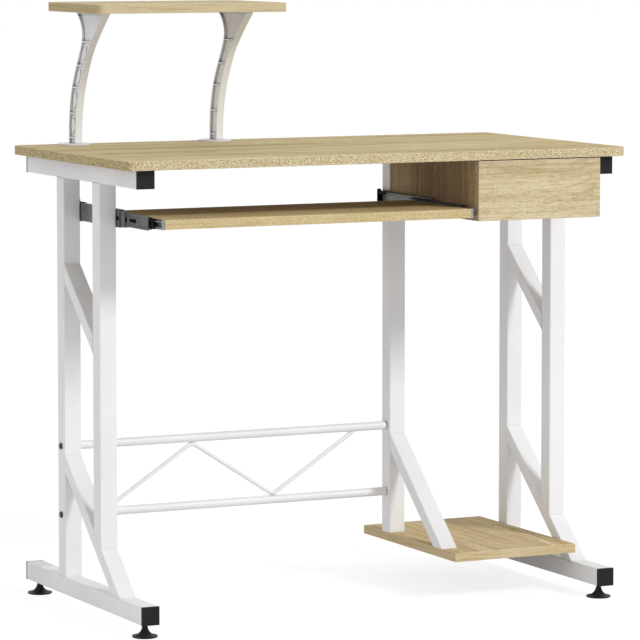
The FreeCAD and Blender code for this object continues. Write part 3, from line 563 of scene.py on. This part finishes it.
def side_frame_corners(side):
    """Corners of a side frame where a line across the tube is welded, as Y and Z."""
    rear_low, rear_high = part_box(side + "_rear_post")
    front_low, front_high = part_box(side + "_front_post")
    upper_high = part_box(side + "_upper_brace")[1]
    lower_low, lower_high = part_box(side + "_lower_brace")
    slope = math.tan(brace_angle)
    front_ys = (front_low[1], front_high[1])
    places = [(y, z) for y in (rear_low[1], rear_high[1]) for z in (rear_low[2], rear_high[2])]
    places += [(y, front_high[2]) for y in front_ys]
    places += [(y, lower_high[2] - (rear_low[1] - y) * slope) for y in front_ys]
    places += brace_corners(rear_low[1], upper_high[2])
    places += brace_corners(front_high[1], upper_high[2] - (rear_low[1] - front_high[1]) * slope)
    places += brace_corners(rear_low[1], lower_high[2])
    foot = lower_low[1]
    places += [(foot, lower_low[2]), (foot + brace_depth / math.sin(brace_angle), lower_low[2])]
    return places


def build_beads(paint):
    """Beads across the tubes' corners."""
    form = bmesh.new()
    frames = [(side + "_rear_post", side_frame_corners(side)) for side in ("left", "right")]
    middle_low, middle_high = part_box("middle_post")
    brace_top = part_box("middle_brace")[1][2]
    middle = [(y, middle_high[2]) for y in (middle_low[1], middle_high[1])]
    frames.append(("middle_post", middle + brace_corners(middle_low[1], brace_top)))
    for post, places in frames:
        low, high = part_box(post)
        for y, z in places:
            start = Vector((low[0] + bead_end_gap, y, z))
            end = Vector((high[0] - bead_end_gap, y, z))
            add_bead(form, start, end)
    beads = add_object("weld_beads", form, paint)
    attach(beads, "desk")


def build_rivet(material):
    """Domed rivet head on the part of the left outer member that stands in front of the post."""
    low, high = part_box("left_slide_outer_member")
    post_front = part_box("left_front_post")[0][1]
    seat = Vector((low[0], (low[1] + post_front) / 2, (low[2] + high[2]) / 2))
    rings = []
    for k in reversed(range(rivet_rings)):
        lean = math.pi / 2 * k / (rivet_rings - 1)
        centre = seat - Vector((rivet_height * math.sin(lean), 0, 0))
        radius = rivet_radius * max(rivet_crown_share, math.cos(lean))
        rings.append(circle(centre, Vector((0, 1, 0)), Vector((0, 0, 1)), radius, rivet_sides))
    form = bmesh.new()
    add_skin(form, rings)
    rivet = add_object("left_slide_rivet", form, material, flat_ends=True)
    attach(rivet, "desk")


# Studio and camera
def seen_or_mirrored(tree):
    """1 for rays from the camera, or seen in gloss or glass."""
    path = tree.nodes.new("ShaderNodeLightPath").outputs
    value = path["Is Camera Ray"]
    for name in ("Is Glossy Ray", "Is Transmission Ray"):
        either = tree.nodes.new("ShaderNodeMath")
        either.operation = "MAXIMUM"
        tree.links.new(value, either.inputs[0])
        tree.links.new(path[name], either.inputs[1])
        value = either.outputs["Value"]
    return value


def build_floor():
    """Pale floor, which glows to white where the camera sees it."""
    mesh = bpy.data.meshes.new("floor")
    form = bmesh.new()
    bmesh.ops.create_grid(form, x_segments=1, y_segments=1, size=floor_size / 2)
    form.to_mesh(mesh)
    form.free()
    floor = bpy.data.objects.new("floor", mesh)
    bpy.context.scene.collection.objects.link(floor)
    graph = Graph("floor")
    seen = seen_or_mirrored(graph.tree)
    glow = graph.math("MULTIPLY", seen, floor_glow)
    lit_tone = (floor_tone, floor_tone, floor_tone, 1)
    seen_tone = (floor_tone_seen, floor_tone_seen, floor_tone_seen, 1)
    tone = graph.mix(seen, lit_tone, seen_tone)
    graph.finish(0.0, Base_Color=tone, Roughness=0.9, Emission_Color=(1, 1, 1, 1), Emission_Strength=glow)
    mesh.materials.append(graph.material)


def build_world():
    """White surroundings, dimmer as a light than where they are seen."""
    world = bpy.data.worlds.new("studio")
    bpy.context.scene.world = world
    world.use_nodes = True
    tree = world.node_tree
    background = tree.nodes["Background"]
    background.inputs["Color"].default_value = (1, 1, 1, 1)
    strength = tree.nodes.new("ShaderNodeMapRange")
    strength.inputs["To Min"].default_value = world_strength
    strength.inputs["To Max"].default_value = 1.0
    tree.links.new(seen_or_mirrored(tree), strength.inputs["Value"])
    tree.links.new(strength.outputs["Result"], background.inputs["Strength"])


def softbox(name, place, size, power):
    """Square lamp that faces the desk."""
    lamp = bpy.data.lights.new(name, "AREA")
    lamp.size = size
    lamp.energy = power
    box = bpy.data.objects.new(name, lamp)
    box.location = place
    box.rotation_euler = (Vector(lamp_aim) - Vector(place)).to_track_quat("-Z", "Y").to_euler()
    bpy.context.scene.collection.objects.link(box)


def build_camera():
    """Camera at the photograph's place, with its focal length and framing."""
    yaw = math.radians(camera_yaw)
    pitch = math.radians(camera_pitch)
    level = Vector((math.sin(yaw), math.cos(yaw), 0))
    side = Vector((math.cos(yaw), -math.sin(yaw), 0))
    up = Vector((0, 0, 1))
    sight = level * math.cos(pitch) - up * math.sin(pitch)
    data = bpy.data.cameras.new("camera")
    data.sensor_width = sensor_width
    data.lens = focal_pixels * sensor_width / photo_side
    data.shift_y = (principal_row - photo_side / 2) / photo_side
    data.clip_end = camera_reach
    camera = bpy.data.objects.new("camera", data)
    camera.location = -level * camera_distance + side * camera_side + up * camera_height
    camera.rotation_euler = sight.to_track_quat("-Z", "Y").to_euler()
    bpy.context.scene.collection.objects.link(camera)
    bpy.context.scene.camera = camera


frame_paint = powder_coat("white_powder_coat", frame_white)
slide_plastic = moulded_plastic("slide_plastic", slide_black, roughness=0.5, gloss=0.04)
dress_nodes(frame_paint, slide_plastic)
build_rivet(slide_plastic)
build_beads(frame_paint)
build_floor()
build_world()
softbox("key", key_place, key_size, key_power)
softbox("fill", fill_place, fill_size, fill_power)
build_camera()
bpy.context.scene.view_settings.view_transform = "Standard"
